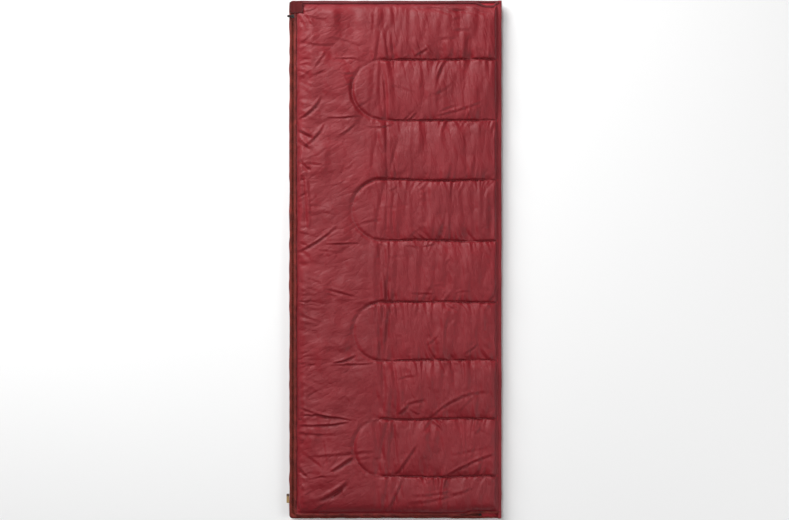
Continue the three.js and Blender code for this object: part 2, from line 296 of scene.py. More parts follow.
def rounded_corners(x, y, edges):
    """Grid points with the zip-side corners drawn in to an arc."""
    x0, _, y0, y1 = edges
    low, high = y0 + CORNER_RADIUS, y1 - CORNER_RADIUS
    across = np.clip((x0 + CORNER_RADIUS - x) / CORNER_RADIUS, 0, 1)
    beyond = np.clip(np.maximum(low - y, y - high) / CORNER_RADIUS, 0, 1)
    shift_x = CORNER_RADIUS * across * (1 - np.sqrt(1 - beyond**2 / 2))
    shift_y = CORNER_RADIUS * beyond * (1 - np.sqrt(1 - across**2 / 2))
    return x + shift_x, y + np.where(y < low, shift_y, -shift_y)


# ---------------- Creases ----------------
# Each crease is where it starts (x, y), its direction in degrees, its length, how far it bends aside, and its
# depth. They are given in millimetres.
ZIP_SIDE_CREASES = [
    (-330, 400, -92, 150, 4, 4.0),
    (-322, 300, -86, 190, -4, 4.4),
    (-334, 170, -94, 120, 3, 3.4),
    (-350, 468, -32, 75, 4, 4.6),
    (-348, 432, -40, 70, 2, 4.4),
    (-350, 375, -48, 85, 4, 3.6),
    (-346, 488, 42, 125, 12, 2.6),
    (-318, 393, 47, 110, 6, 2.4),
    (-330, 765, -6, 120, 6, 1.4),
    (-225, 775, -14, 110, -6, 1.5),
    (-208, 703, 3, 75, 0, 1.4),
    (-190, 651, 2, 50, 0, 1.3),
    (-235, 497, 2, 110, 3, 1.3),
    (-200, 425, 38, 85, 4, 1.5),
    (-357, 16, 33, 190, 8, 2.2),
    (-240, 54, 0, 120, 0, 1.3),
    (-242, -106, -13, 105, -3, 1.8),
    (-214, -368, 20, 85, 4, 2.2),
    (-225, -376, 4, 150, 0, 1.3),
    (-340, -520, -17, 150, 6, 1.8),
    (-345, -553, -5, 200, -8, 2.2),
    (-345, -588, 4, 190, 6, 2.4),
    (-340, -610, -3, 140, 6, 1.5),
    (-292, -694, 5, 225, 6, 1.8),
    (-218, -751, 34, 95, 0, 3.4),
    (-262, -849, 32, 115, 4, 4.2),
    (-230, -842, 38, 60, 0, 3.0),
    (-352, -716, -50, 68, 0, 2.6),
    (-355, -752, -60, 75, 0, 2.6),
    (-352, -820, -68, 66, 3, 2.8),
    (-300, -895, 34, 70, 0, 2.0),
    (-342, 866, -62, 60, -3, 3.0),
    (-328, 864, -48, 55, -6, 2.4),
    (-318, 868, 24, 55, 4, 2.6),
    (-312, 872, 48, 45, 3, 2.2),
    (-320, 862, -14, 85, 4, 1.8),
]
LONG_CREASES = [
    (131, -557, 24, 215, -20, 2.0),
    (18, -545, 42, 45, 0, 2.6),
    (45, -512, 14, 70, -4, 2.0),
    (181, -763, 23, 205, -6, 2.2),
    (190, -690, 10, 150, 0, 1.0),
    (10, -760, 56, 130, 0, 2.4),
    (-20, -880, 64, 130, 3, 2.4),
    (60, -830, 6, 150, 4, 1.6),
    (50, -856, 12, 240, 6, 2.0),
    (150, 505, 17, 170, 4, 1.4),
    (75, 716, 30, 55, 0, 1.8),
    (250, -335, 36, 60, 0, 1.2),
    (60, 888, -5, 175, -4, 3.6),
    (196, 872, -8, 115, -11, 2.4),
    (235, 893, -12, 100, 4, 2.6),
    (150, 880, -16, 70, 0, 3.0),
    (212, 806, 0, 56, 0, 1.8),
    (160, 775, 2, 48, 0, 1.6),
]


def crease(x, y, start_x, start_y, degrees, length, bow, depth):
    """A tuck that fades at both ends: rounded on its head side, and dropping sharply into a furrow."""
    c, s = math.cos(math.radians(degrees)), math.sin(math.radians(degrees))
    along = ((x - start_x) * c + (y - start_y) * s) / length
    arch = 4 * along * (1 - along)
    side = (y - start_y) * c - (x - start_x) * s + bow * arch
    width = 0.0024 + 0.45 * depth
    furrow = bell(side, np.where(side > 0, width, 2.0 * width))
    lip = 0.75 * bell(side - 1.8 * width, 1.4 * width)
    return 1.8 * depth * (lip - furrow) * np.sqrt(np.clip(arch, 0, 1))


def random_creases(x, y, count, edges, seed):
    """Small creases scattered over a quilt, most of them near the zip."""
    rng = np.random.default_rng(seed)
    x0, x1, y0, y1 = edges
    total = np.zeros(x.shape)
    for _ in range(count):
        start_x = x0 + (x1 - x0) * rng.random() ** 1.8
        start_y = rng.uniform(y0 + 0.05, y1 - 0.05)
        total += crease(x, y, start_x, start_y, rng.normal(5, 32), rng.uniform(0.03, 0.10),
                        rng.normal(0, 0.004), rng.uniform(0.0004, 0.0013))
    return total


def draped_folds(x, y, width, length, slope, seed):
    """Folds that lean a little and run into one another, with sharp furrows between round backs."""
    sway = 0.35 * noise_at(x / 0.09 + 5, y / 0.11, seed + 1)
    ridge = noise_at((x + slope * y) / width + sway, y / length, seed)
    return np.abs(ridge) ** 0.8 - 0.35


def storage_folds(x, y, seed):
    """Folds and crossing furrows, left where the bag is folded lengthways to be rolled."""
    band = np.exp(-(((x + 0.026) / 0.052) ** 4))
    folds = 0.0080 * draped_folds(x, y, 0.022, 0.15, 0.10, seed)
    folds += 0.0070 * draped_folds(x, y, 0.027, 0.18, -0.12, seed + 10)
    middle = -0.030 + 0.010 * noise_at(y / 0.21, y * 0, seed + 20)
    depth = 0.0036 * (0.6 + 0.6 * noise_at(y / 0.12, y * 0, seed + 21))
    furrow = depth * bell(x - middle, 0.0040)
    return band * (folds - furrow - 0.0035)


def broad_folds(x, y, seed):
    """Slack dimples beside the zip, leaning flutes beside the spine, and light crinkles everywhere."""
    beside_zip = 1 - smoothstep((x + 0.16) / 0.10)
    beside_spine = smoothstep((x - 0.01) / 0.10)
    dimples = 0.0044 * noise_at(x / 0.036, y / 0.105, seed) + 0.0020 * noise_at(x / 0.06, y / 0.030, seed + 1)
    flutes = 0.0036 * draped_folds(x, y, 0.034, 0.105, 0.07, seed + 2)
    flutes += 0.0017 * noise_at((x - 0.15 * y) / 0.020, y / 0.085, seed + 4)
    crinkle = 0.0009 * draped_folds(x, y, 0.020, 0.024, 0.4, seed + 6)
    return beside_zip * dimples + beside_spine * flutes + crinkle


# ---------------- The four fabric layers ----------------
def seam_gathers(x, y, seed):
    """Gathers that fan out from each straight seam, some square to it and some aslant."""
    step = 0.002
    across = np.arange(-0.20, 0.42, step)

    def uneven(feature, number):
        return lattice_noise((1, len(across)), (1, feature / step), seed + number)[0]

    total, strongest = np.zeros(x.shape), np.zeros(x.shape)
    seams = [(seam_y, part) for seam_y in SEAM_YS for part in (-1, 1)]
    for number, (seam_y, part) in enumerate(seams):
        away = (y - seam_y) * part
        lean = np.interp(x, across, 0.45 * uneven(0.035, 4 * number))
        reach = 0.026 * np.exp(0.6 * np.interp(x, across, uneven(0.014, 4 * number + 1)))
        place = x + lean * away
        ridge = np.interp(place, across, uneven(0.0065, 4 * number + 2))
        share = np.where(away >= 0, np.exp(-np.abs(away) / reach), 0) * (0.75 if part > 0 else 1.0)
        total += ridge * share * (1 - 0.75 * bell(away, 0.004))
        strongest = np.maximum(strongest, share)
    return total, strongest


def round_gathers(x, y, seed):
    """Short gathers square to the seams' round ends, on both sides of them."""
    total = np.zeros(x.shape)
    for number, (middle, radius) in enumerate(SEAM_ENDS):
        away = np.hypot(x - ARC_X, y - middle) - radius
        along = np.arctan2(y - middle, ARC_X - x) * radius
        share = np.exp(-np.abs(away) / 0.016) * (1 - 0.75 * bell(away, 0.004))
        ridge = noise_at(along / 0.0085 + 40, away / 0.05 + 9 * number, seed + number)
        total += np.where(x < ARC_X, share * ridge, 0)
    return total


def puckers(shape, x, y, pitch, seed):
    """The gathers at the seams, and the broad flutes between them, deepest toward the spine."""
    gathered = smoothstep((x - ARC_X) / 0.16) * 0.85 + 0.15
    ridges, near = seam_gathers(x, y, seed)
    flutes = lattice_noise(shape, (0.070 / pitch, 0.015 / pitch), seed + 2)
    ends = 0.0016 * round_gathers(x, y, seed + 30)
    return gathered * (0.0032 * ridges + 0.0015 * flutes) + ends, gathered * near


def hem_gathers(shape, x, y, edges, pitch, seed):
    """Gathers square to the zip edge and the spine, where the fabric is eased into its binding."""
    x0, x1 = edges[:2]
    ridges = lattice_noise(shape, (0.0065 / pitch, 0.045 / pitch), seed)
    slant = y + 0.5 * (x - x0) * np.sin(9 * y + 2)
    tucks = draped_folds(slant, x, 0.017, 0.040, 0, seed + 3)
    near = np.exp(-(x - x0) / 0.035) + 0.6 * np.exp(-(x1 - x) / 0.018)
    return 0.0012 * near * ridges + 0.0075 * np.exp(-(x - x0) / 0.045) * tucks, near


def hem_ceiling(x, y, edges, layer):
    """Keeps the hems flat under their bindings."""
    inside = edge_distance(x, y, edges) - TAPE_REACH + 0.001
    return np.minimum(layer["most"], layer["hem"] + 0.0006 + 2.6 * np.maximum(inside, 0))


def designed_heights(x, y, edges, layer, pitch, seed, extras):
    """The heights that the filling pushes a layer to, and how gathered it is at its seams and hems."""
    shape = x.shape
    waves = 0.0021 * lattice_noise(shape, (0.055 / pitch, 0.050 / pitch), seed)
    gathers, near_seam = puckers(shape, x, y, pitch, seed + 10)
    hem, near_hem = hem_gathers(shape, x, y, edges, pitch, seed + 20)
    loose = 0.00030 * lattice_noise(shape, (0.014 / pitch, 0.014 / pitch), seed + 30)
    inside = rise_from(edge_distance(x, y, edges) - TAPE_REACH, 0.012)
    sewn = 1 - 0.8 * bell(seam_distance(x, y), 0.005)
    height = quilted_heights(x, y, edges, layer, waves) + inside * (gathers + hem + loose)
    return height + inside * sewn * extras(x, y), near_seam, near_hem


def height_limits(x, y, edges, layer, ceiling):
    """The lowest and highest that each point of a layer may lie. The ceiling wins over the seams' floor."""
    top = hem_ceiling(x, y, edges, layer)
    if ceiling is not None:
        top = np.minimum(top, ceiling(x, y))
    bottom = seam_floor(x, y, edges, layer) - 0.0003
    if layer is not LINING:
        bottom = np.maximum(bottom - slack(x, y), layer["hem"])
    return np.minimum(bottom, top), top


def loose_points(x, y):
    """1 where a layer's points may move, and 0 along its edges and its straight seams."""
    free = np.ones(x.shape, F32)
    free[[0, -1]] = free[:, [0, -1]] = 0
    for seam_y in SEAM_YS:
        row = int(np.argmin(np.abs(y[:, 0] - seam_y)))
        free[row, x[row] > ARC_X + 0.05] = 0
    return free


def relaxed_layer(edges, layer, pitch, seed, join_height, extras, steps=160, ceiling=None):
    """The points of one fabric layer, as (x, y, height)."""
    x, y = rounded_corners(*quilt_grid(edges, pitch), edges)
    height, near_seam, near_hem = designed_heights(x, y, edges, layer, pitch, seed, extras)
    bottom, top = height_limits(x, y, edges, layer, ceiling)
    height = np.maximum(height, bottom)
    height[[0, -1]] = height[:, [0]] = layer["hem"]
    height[:, -1] = join_height
    height = np.minimum(height, top)
    points = np.dstack([x, y, height]).astype(F32)
    spare = (
        (0.004 + 0.020 * near_seam).astype(F32),
        (0.004 + 0.016 * np.minimum(near_hem, 1)).astype(F32),
    )
    steps = steps
    relax(points, loose_points(x, y), spare, height.astype(F32), top.astype(F32), steps)
    points[..., 2] = np.maximum(points[..., 2], bottom)
    points[..., 1] = strayed(points[..., 0], points[..., 1], edges)
    return points


def mesh_object(name, vertices, faces):
    """A smooth mesh, linked into the scene."""
    mesh = bpy.data.meshes.new(name)
    mesh.from_pydata(np.reshape(vertices, (-1, 3)).tolist(), [], faces)
    mesh.shade_smooth()
    return link_object(name, mesh)


def numbered(rows, columns):
    return np.arange(rows * columns).reshape(rows, columns)


def grid_quads(rows, columns):
    index = numbered(rows, columns)
    return np.stack([index[:-1, :-1], index[:-1, 1:], index[1:, 1:], index[1:, :-1]], -1).reshape(-1, 4)


def tube_faces(count, sides):
    """Faces along a tube of closed rings, and over its ends."""
    index = numbered(count, sides)
    after = np.roll(index, -1, axis=1)
    walls = np.stack([index[:-1], index[1:], after[1:], after[:-1]], -1).reshape(-1, 4).tolist()
    return walls + [index[0].tolist(), index[-1, ::-1].tolist()]


def flipped(faces):
    return [face[:1] + face[:0:-1] for face in faces]


def grid_object(name, points, side):
    """A fabric layer as a mesh. side is 1 above the zip plane and -1 below it."""
    placed = points.astype(float)
    placed[..., 2] = ZIP_PLANE + side * placed[..., 2]
    return mesh_object(name, placed, grid_quads(*points.shape[:2])[:, ::side].tolist())


def link_object(name, data):
    added = bpy.data.objects.new(name, data)
    bpy.context.scene.collection.objects.link(added)
    return added


def round_edges(piece, width):
    bevel = piece.modifiers.new("round", "BEVEL")
    bevel.width = width
    bevel.segments = 2
    return bevel


# ---------------- Materials ----------------
class Graph:
    """Adds shader nodes to a node tree. Each method gives the new node's output."""

    def __init__(self, tree):
        self.nodes, self.links = tree.nodes, tree.links

    def connect(self, node, inputs):
        """Gives each named socket a constant or another node's output."""
        for socket, value in inputs.items():
            if isinstance(value, bpy.types.NodeSocket):
                self.links.new(value, node.inputs[socket])
            else:
                node.inputs[socket].default_value = value

    def add(self, kind, output, inputs, **settings):
        node = self.nodes.new("ShaderNode" + kind)
        for name, value in settings.items():
            setattr(node, name, value)
        self.connect(node, inputs)
        return node.outputs[output]

    def calc(self, operation, a, b=0):
        return self.add("Math", "Value", {0: a, 1: b}, operation=operation)

    def scaled(self, value, factor, plus=0.0, clamped=False):
        inputs = {0: value, 1: factor, 2: plus}
        return self.add("Math", "Value", inputs, operation="MULTIPLY_ADD", use_clamp=clamped)

    def turned(self, vector, degrees):
        return self.add("Mapping", "Vector", {"Vector": vector, "Rotation": (0, 0, math.radians(degrees))})

    def noise(self, vector, scale, detail=3.0, stretch=(1, 1, 1)):
        stretched = self.add("Mapping", "Vector", {"Vector": vector, "Scale": stretch})
        return self.add("TexNoise", "Fac", {"Vector": stretched, "Scale": scale, "Detail": detail})

    def wave(self, vector, direction, period):
        scale = math.pi / (10 * period)
        return self.add("TexWave", "Fac", {"Vector": vector, "Scale": scale}, bands_direction=direction)

    def ramp(self, factor, stops):
        colours = self.add("ValToRGB", "Color", {"Fac": factor})
        elements = colours.node.color_ramp.elements
        for element, (place, colour) in zip(elements, (stops[0], stops[-1])):
            element.position = place
            element.color = (*colour, 1)
        for place, colour in stops[1:-1]:
            elements.new(place).color = (*colour, 1)
        return colours

    def dyed(self, tone, colour, spread):
        """A colour that goes darker and lighter with tone."""
        shades = [tuple(min(1, c * f) for c in colour) for f in (1 - spread, 1, 1 + spread)]
        return self.ramp(tone, list(zip((0.3, 0.5, 0.7), shades)))

    def bump(self, height, distance, strength=1.0, normal=None):
        inputs = {"Height": height, "Distance": distance, "Strength": strength}
        if normal is not None:
            inputs["Normal"] = normal
        return self.add("Bump", "Normal", inputs)


class Finish(Graph):
    """A material, its shader and the object's own coordinates."""

    def __init__(self, name):
        self.material = bpy.data.materials.new(name)
        self.material.use_nodes = True
        super().__init__(self.material.node_tree)
        self.shader = self.nodes["Principled BSDF"]
        self.place = self.nodes.new("ShaderNodeTexCoord").outputs["Object"]

    def done(self, inputs):
        self.connect(self.shader, inputs)
        return self.material


def wrinkle_height(finish):
    """Fine sharp wrinkles: up and down the quilted part, and aslant beside the zip."""
    long_ones = finish.noise(finish.turned(finish.place, -8), 34, 3, (1, 0.30, 1))
    slanted = finish.noise(finish.turned(finish.place, 62), 30, 3, (1, 0.38, 1))
    away = [finish.calc("ABSOLUTE", finish.calc("SUBTRACT", noise, 0.5)) for noise in (long_ones, slanted)]
    quilted, beside_zip = (finish.calc("POWER", distance, 0.7) for distance in away)
    x = finish.add("SeparateXYZ", "X", {"Vector": finish.place})
    side = finish.scaled(x, 8, 0.14 * 8, clamped=True)
    return finish.calc("ADD", finish.calc("MULTIPLY", quilted, side),
                       finish.calc("MULTIPLY", beside_zip, finish.calc("SUBTRACT", 1, side)))


def fabric_material(name, colour, thread, roughness, spread=0.12, crinkle=0.0006, sheen=0.25, shine=0.3,
                    wrinkle=0.0):
    """Woven cloth: threads both ways, uneven dye, a little crinkle and a soft sheen."""
    finish = Finish(name)
    place = finish.place
    weave = finish.calc("MAXIMUM", finish.wave(place, "X", thread), finish.wave(place, "Y", thread))
    dye = finish.noise(place, 9 if spread < 0.4 else 45, 6)
    slub = finish.noise(place, 160, 2, (1, 9, 1))
    tone = finish.scaled(dye, 0.75, finish.scaled(slub, 0.25))
    normal = finish.bump(finish.noise(place, 75, 4, (1, 0.6, 1)), crinkle)
    if wrinkle:
        normal = finish.bump(wrinkle_height(finish), wrinkle, 1.0, normal)
    return finish.done({
        "Base Color": finish.dyed(tone, colour, spread),
        "Roughness": finish.scaled(finish.noise(place, 30, 4), 0.16, roughness - 0.08),
        "Normal": finish.bump(weave, thread * 0.12, 0.5, normal),
        "Specular IOR Level": shine,
        "Sheen Weight": sheen,
        "Sheen Roughness": 0.4,
    })


def plush_material(name, colour, fibre):
    """A napped surface: hook tape, loop tape or filling."""
    finish = Finish(name)
    pile = finish.noise(finish.place, 1 / fibre, 4)
    return finish.done({
        "Base Color": finish.dyed(pile, colour, 0.35),
        "Normal": finish.bump(pile, fibre * 0.6),
        "Roughness": 0.95,
        "Sheen Weight": 0.3,
    })


def metal_material(name, colour):
    """Enamelled metal, rubbed bare in places on its edges."""
    finish = Finish(name)
    scuffs = finish.noise(finish.place, 420, 5)
    edges = finish.add("NewGeometry", "Pointiness", {})
    worn = finish.scaled(edges, 2.0, finish.scaled(scuffs, 0.7, -1.0))
    bare, lighter = (0.12, 0.11, 0.10), tuple(1.5 * c for c in colour)
    return finish.done({
        "Base Color": finish.ramp(worn, [(0.35, colour), (0.65, lighter), (1.0, bare)]),
        "Roughness": finish.scaled(scuffs, 0.3, 0.22),
        "Normal": finish.bump(scuffs, 0.00008),
        "Metallic": 0.7,
    })


label_low, label_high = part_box("side_label")


def label_material(name):
    """A plain woven tag with a darker band across one end."""
    finish = Finish(name)
    y = finish.add("SeparateXYZ", "Y", {"Vector": finish.place})
    along = finish.calc("DIVIDE", finish.calc("SUBTRACT", y, label_low[1]), label_high[1] - label_low[1])
    bands = [(0.0, (0.24, 0.14, 0.05)), (0.10, (0.36, 0.23, 0.09)), (0.72, (0.34, 0.21, 0.08)),
             (0.76, (0.08, 0.04, 0.02))]
    return finish.done({
        "Base Color": finish.ramp(along, bands),
        "Normal": finish.bump(finish.wave(finish.place, "Y", 0.0006), 0.0001),
        "Roughness": 0.6,
    })


TAPE = {"thread": 0.0009, "roughness": 0.7, "crinkle": 0.0003, "sheen": 0.05, "shine": 0.2}
casing_material = fabric_material("casing", (0.190, 0.0055, 0.0110), 0.0005, 0.56, crinkle=0.0008,
                                  sheen=0.06, shine=0.40, wrinkle=0.0042)
lining_material = fabric_material("lining", (0.330, 0.015, 0.024), 0.0005, 0.60, crinkle=0.0007,
                                  sheen=0.06, shine=0.25, wrinkle=0.0035)
binding_material = fabric_material("binding", (0.115, 0.017, 0.020), **TAPE, spread=0.25)
# The spine's tape is painted lighter than the other bindings: painted light that makes up for the shade the
# casing's puff casts on it.
spine_painted_light_material = fabric_material("spine_binding", (0.230, 0.026, 0.032), **TAPE, spread=0.25)
tab_material = fabric_material("tab", (0.080, 0.010, 0.011), 0.0009, 0.8, spread=0.35, crinkle=0.0003,
                               sheen=0.03, shine=0.1)
zip_binding_material = fabric_material("zip_binding", (0.150, 0.017, 0.015), **{**TAPE, "crinkle": 0.0006},
                                       spread=0.6)
zip_tape_material = fabric_material("zip_tape", (0.150, 0.020, 0.016), 0.0008, 0.75, spread=0.5,
                                    crinkle=0.0002, sheen=0.05, shine=0.2)
coil_material = fabric_material("zip_coil", (0.130, 0.034, 0.017), 0.0006, 0.35, spread=0.5,
                                crinkle=0.0001, sheen=0.0)
thread_material = fabric_material("thread", (0.120, 0.012, 0.015), 0.0003, 0.6, crinkle=0.0001)
tape_thread_material = fabric_material("tape_thread", (0.050, 0.028, 0.026), 0.0003, 0.6, crinkle=0.0001)
batting_material = plush_material("batting", (0.78, 0.76, 0.71), 0.0015)
hook_material = plush_material("hook_and_loop", (0.030, 0.020, 0.020), 0.0006)
enamel_material = metal_material("zip_metal", (0.016, 0.013, 0.012))
tag_material = label_material("label")


def dress(piece, body, slot, material, *stands_for):
    """Gives a piece its material and its body, and hides the CAD nodes that it stands for. Its slot is not
    used.
    """
    piece.data.materials.append(material)
    if body:
        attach(piece, body)
    if stands_for:
        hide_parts(*stands_for)
    return piece


# ---------------- Casings, linings and fillings ----------------
tab_low, tab_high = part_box("closure_tab")


def under_tab(x, y):
    """Holds the casing down where the closure tab lies on it."""
    along = (x - cover_low[0]) / (tab_high[0] - cover_low[0])
    line = 0.0064 + 0.0095 * np.clip(along, 0, 1)
    beside = np.maximum(np.maximum(x - tab_high[0] - 0.003, tab_low[1] - 0.004 - y), 0)
    return line + 1.5 * beside


def cover_extras(x, y):
    folds = storage_folds(x, y, 40) + broad_folds(x, y, 70)
    for start_x, start_y, degrees, *sizes in ZIP_SIDE_CREASES + LONG_CREASES:
        length, bow, depth = (size * MM for size in sizes)
        folds += crease(x, y, start_x * MM, start_y * MM, degrees, length, bow, depth)
    return folds + random_creases(x, y, 80, COVER_EDGES, 50)


def lighter_extras(seed):
    """Fainter folds and creases, for a layer that is mostly hidden."""
    return lambda x, y: 0.5 * broad_folds(x, y, seed) + 0.8 * random_creases(x, y, 60, LOWER_EDGES, seed)


def under_zip(x, y):
    """Holds the linings clear of the zip, on its side and along the foot."""
    inside = np.minimum(x - LOWER_EDGES[0], y - LOWER_EDGES[2]) - 0.030
    return -0.0030 + 0.05 * np.maximum(inside, 0)


CASING_PITCH, LINING_PITCH, LOWER_CASING_PITCH = 0.0037, 0.0050, 0.0055
cover_casing_points = relaxed_layer(
    COVER_EDGES, COVER_CASING, CASING_PITCH, 1, CASING_JOIN, cover_extras, ceiling=under_tab)
cover_lining_points = relaxed_layer(
    COVER_EDGES, LINING, LINING_PITCH, 101, LINING_JOIN, lighter_extras(150), 110, under_zip)
lower_lining_points = relaxed_layer(
    LOWER_EDGES, LINING, LINING_PITCH, 201, LINING_JOIN, lighter_extras(250), 110, under_zip)
lower_casing_points = relaxed_layer(
    LOWER_EDGES, LOWER_CASING, LOWER_CASING_PITCH, 301, CASING_JOIN, lighter_extras(350), 90)

cover_casing = grid_object("cover_casing_cloth", cover_casing_points, 1)
cover_lining = grid_object("cover_lining_cloth", cover_lining_points * F32([1, 1, -1]), 1)
lower_lining = grid_object("lower_lining_cloth", lower_lining_points * F32([1, 1, -1]), -1)
lower_casing = grid_object("lower_casing_cloth", lower_casing_points, -1)
dress(cover_casing, "cover", "casing", casing_material, "cover_casing")
dress(cover_lining, "cover", "lining", lining_material, "cover_lining")
dress(lower_lining, "lower_quilt", "lining", lining_material, "lower_lining")
dress(lower_casing, "lower_quilt", "casing", casing_material, "lower_casing")


def surface_tree(piece):
    vertices = [tuple(v.co) for v in piece.data.vertices]
    return BVHTree.FromPolygons(vertices, [tuple(p.vertices) for p in piece.data.polygons])


def nearby(values, cells, pick):
    """Each grid value replaced by the lowest or highest one within some cells of it."""
    for axis in (0, 1):
        values = pick.reduce([np.roll(values, shift, axis) for shift in range(-cells, cells + 1)])
    return values


def at_nearest(values, edges, pitch, x, y):
    """Values on a fabric layer's grid, at its nodes nearest to x, y."""
    layer_x, layer_y = quilt_grid(edges, pitch)
    columns = np.abs(layer_x[0] - x[0][:, None]).argmin(axis=1)
    rows = np.abs(layer_y[:, 0] - y[:, :1]).argmin(axis=1)
    return values[np.ix_(rows, columns)]


def slab_faces(rows, columns):
    """Faces round a slab whose far grid of points comes first and near grid second."""
    quads, index, count = grid_quads(rows, columns), numbered(rows, columns), rows * columns
    rim = np.concatenate([index[0, :-1], index[:-1, -1], index[-1, :0:-1], index[:0:-1, 0]])
    walls = np.stack([np.roll(rim, -1), rim, rim + count, np.roll(rim, -1) + count], -1)
    return np.concatenate([quads, quads[:, ::-1] + count, walls])


def filling(name, outer, outer_pitch, inner, edges, side, body, node):
    """The batting between two fabric layers, clear of both and thin along the seams."""
    margin, pitch, reach = 0.024, 0.009, 0.012
    x0, x1, y0, y1 = edges
    x, y = quilt_grid((x0 + margin, x1 - margin, y0 + margin, y1 - margin), pitch)
    outer_height, inner_height = outer[..., 2], -inner[..., 2]
    lowest = nearby(outer_height, round(1.2 * reach / outer_pitch), np.minimum)
    highest = nearby(inner_height, round(1.2 * reach / LINING_PITCH), np.maximum)
    below, outer_here = (at_nearest(v, edges, outer_pitch, x, y) for v in (lowest, outer_height))
    above, inner_here = (at_nearest(v, edges, LINING_PITCH, x, y) for v in (highest, inner_height))
    middle = np.clip((below + above) / 2, inner_here + 0.0007, outer_here - 0.0007)
    half = np.maximum((below - above) / 2 - 0.0016, 0.00015)
    y = strayed(x, y, edges)
    vertices = [np.dstack([x, y, ZIP_PLANE + side * height]) for height in (middle + half, middle - half)]
    pad = mesh_object(name, vertices, slab_faces(*x.shape)[:, ::side].tolist())
    dress(pad, body, "batting", batting_material, node)


filling("cover_batting_pad", cover_casing_points, CASING_PITCH, cover_lining_points, COVER_EDGES, 1, "cover",
        "cover_batting")
filling("lower_batting_pad", lower_casing_points, LOWER_CASING_PITCH, lower_lining_points, LOWER_EDGES, -1,
        "lower_quilt", "lower_batting")


# ---------------- Tapes swept along an edge ----------------
zip_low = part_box("lower_zip_binding")[0]
lower_head_low, lower_head_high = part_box("lower_head_binding")
cover_zip_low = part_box("cover_zip_binding")[0]
cover_head_low, cover_head_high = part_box("cover_head_binding")
TAPE_END = SPINE_JOIN - 0.0005
TAPE_TOP = 0.0086  # height of the folded tapes
TAPE_STEP = 0.003


def spaced(points, step):
    """A polyline again, at even steps."""
    points = np.array(points, float)
    lengths = np.r_[0, np.cumsum(np.linalg.norm(np.diff(points, axis=0), axis=1))]
    at = np.linspace(0, lengths[-1], max(2, round(lengths[-1] / step) + 1))
    return np.stack([np.interp(at, lengths, points[:, k]) for k in range(points.shape[1])], -1)


def arc(cx, cy, radius, start, end, count=24):
    turn = np.radians(np.linspace(start, end, count))
    return [(cx + radius * math.cos(t), cy + radius * math.sin(t)) for t in turn]


def zip_line(inset, top, end, x0, y0, step):
    """Down the zip side, round the foot corner and along the foot, inset from the edge at x0, y0."""
    r = CORNER_RADIUS
    x, y = x0 + inset, y0 + inset
    return spaced([(x, top), *arc(x + r, y + r, r, 180, 270), (end, y)], step)


def edge_normals(path):
    """Unit vectors square to a path, toward its left."""
    ahead = units(np.gradient(path, axis=0))
    return np.stack([-ahead[:, 1], ahead[:, 0]], -1)


def swept(name, path, section, side, scallop, seed):
    """A closed section of (inset, height) points carried along a path, with the path's left as its inside."""
    section = np.array(section)
    count = len(path)
    swell = lattice_noise((count, 1), (4, 1), seed) * scallop
    drift = lattice_noise((count, 1), (7, 1), seed + 1) * scallop
    inset = section[None, :, 0] + drift
    height = section[None, :, 1] + swell * (section[None, :, 1] > section[:, 1].mean())
    across = path[:, None] + edge_normals(path)[:, None] * inset[..., None]
    vertices = np.dstack([across, ZIP_PLANE + side * height])
    return mesh_object(name, vertices, [face[::side] for face in flipped(tube_faces(count, len(section)))])


def folded_section(reach, inner):
    """A tape folded round a hem: up from the inner leg's tip, round the web and in over the casing."""
    return [
        (reach, inner), (reach * 0.5, inner), (0.0020, inner), (0.0006, inner + 0.0007), (0.0, 0.0034),
        (0.0, 0.0060), (0.0005, 0.0076), (0.0018, 0.0084), (reach * 0.5, TAPE_TOP), (reach - 0.0004, 0.0082),
        (reach, 0.0077), (reach - 0.0006, 0.0073), (reach * 0.5, 0.0077), (0.0022, 0.0075),
        (0.0013, 0.0064), (0.0011, 0.0040), (0.0018, inner + 0.0010), (reach * 0.5, inner + 0.0007),
        (reach, inner + 0.0007),
    ]


LOWER_ZIP_LEG, COVER_ZIP_LEG, HEAD_LEG = 0.0009, 0.0018, 0.0025  # height of each inner leg


def binding_line(low, head_high):
    """The path of a quilt's zip binding, from where the head binding ends."""
    return zip_line(0, head_high[1] - CORNER_RADIUS - 0.0003, TAPE_END, low[0], low[1], TAPE_STEP)


def head_line(x0, y1):
    """Round the head corner on the zip side and along the head edge, toward the spine."""
    r = CORNER_RADIUS
    return spaced([*arc(x0 + r, y1 - r, r, 178, 90), (TAPE_END, y1)], TAPE_STEP)[::-1]


lower_zip_path = binding_line(zip_low, lower_head_high)
lower_head_path = head_line(lower_head_low[0], lower_head_high[1])
cover_zip_path = binding_line(cover_zip_low, cover_head_high)
near_foot = fade(cover_zip_path[:, 1] - cover_zip_low[1], 0.050)
cover_zip_path[:, 1] -= foot_ease(cover_zip_path[:, 0]) * near_foot
cover_head_path = head_line(cover_head_low[0], cover_head_high[1])
cover_head_path[:, 1] -= head_dip(cover_head_path[:, 0])

BINDINGS = [
    ("lower_zip", lower_zip_path, 0.0065, LOWER_ZIP_LEG, -1, "lower_quilt"),
    ("cover_zip", cover_zip_path, TAPE_REACH, COVER_ZIP_LEG, 1, "cover"),
    ("lower_head", lower_head_path, TAPE_REACH, HEAD_LEG, -1, "lower_quilt"),
    ("cover_head", cover_head_path, TAPE_REACH, HEAD_LEG, 1, "cover"),
]
for number, (hem, path, reach, leg, side, body) in enumerate(BINDINGS):
    on_zip = hem.endswith("zip")
    section, scallop = folded_section(reach, leg), 0.00065 if on_zip else 0.00030
    tape = swept(hem + "_tape_binding", path, section, side, scallop, 400 + 10 * number)
    dress(tape, body, "binding", zip_binding_material if on_zip else binding_material, hem + "_binding")


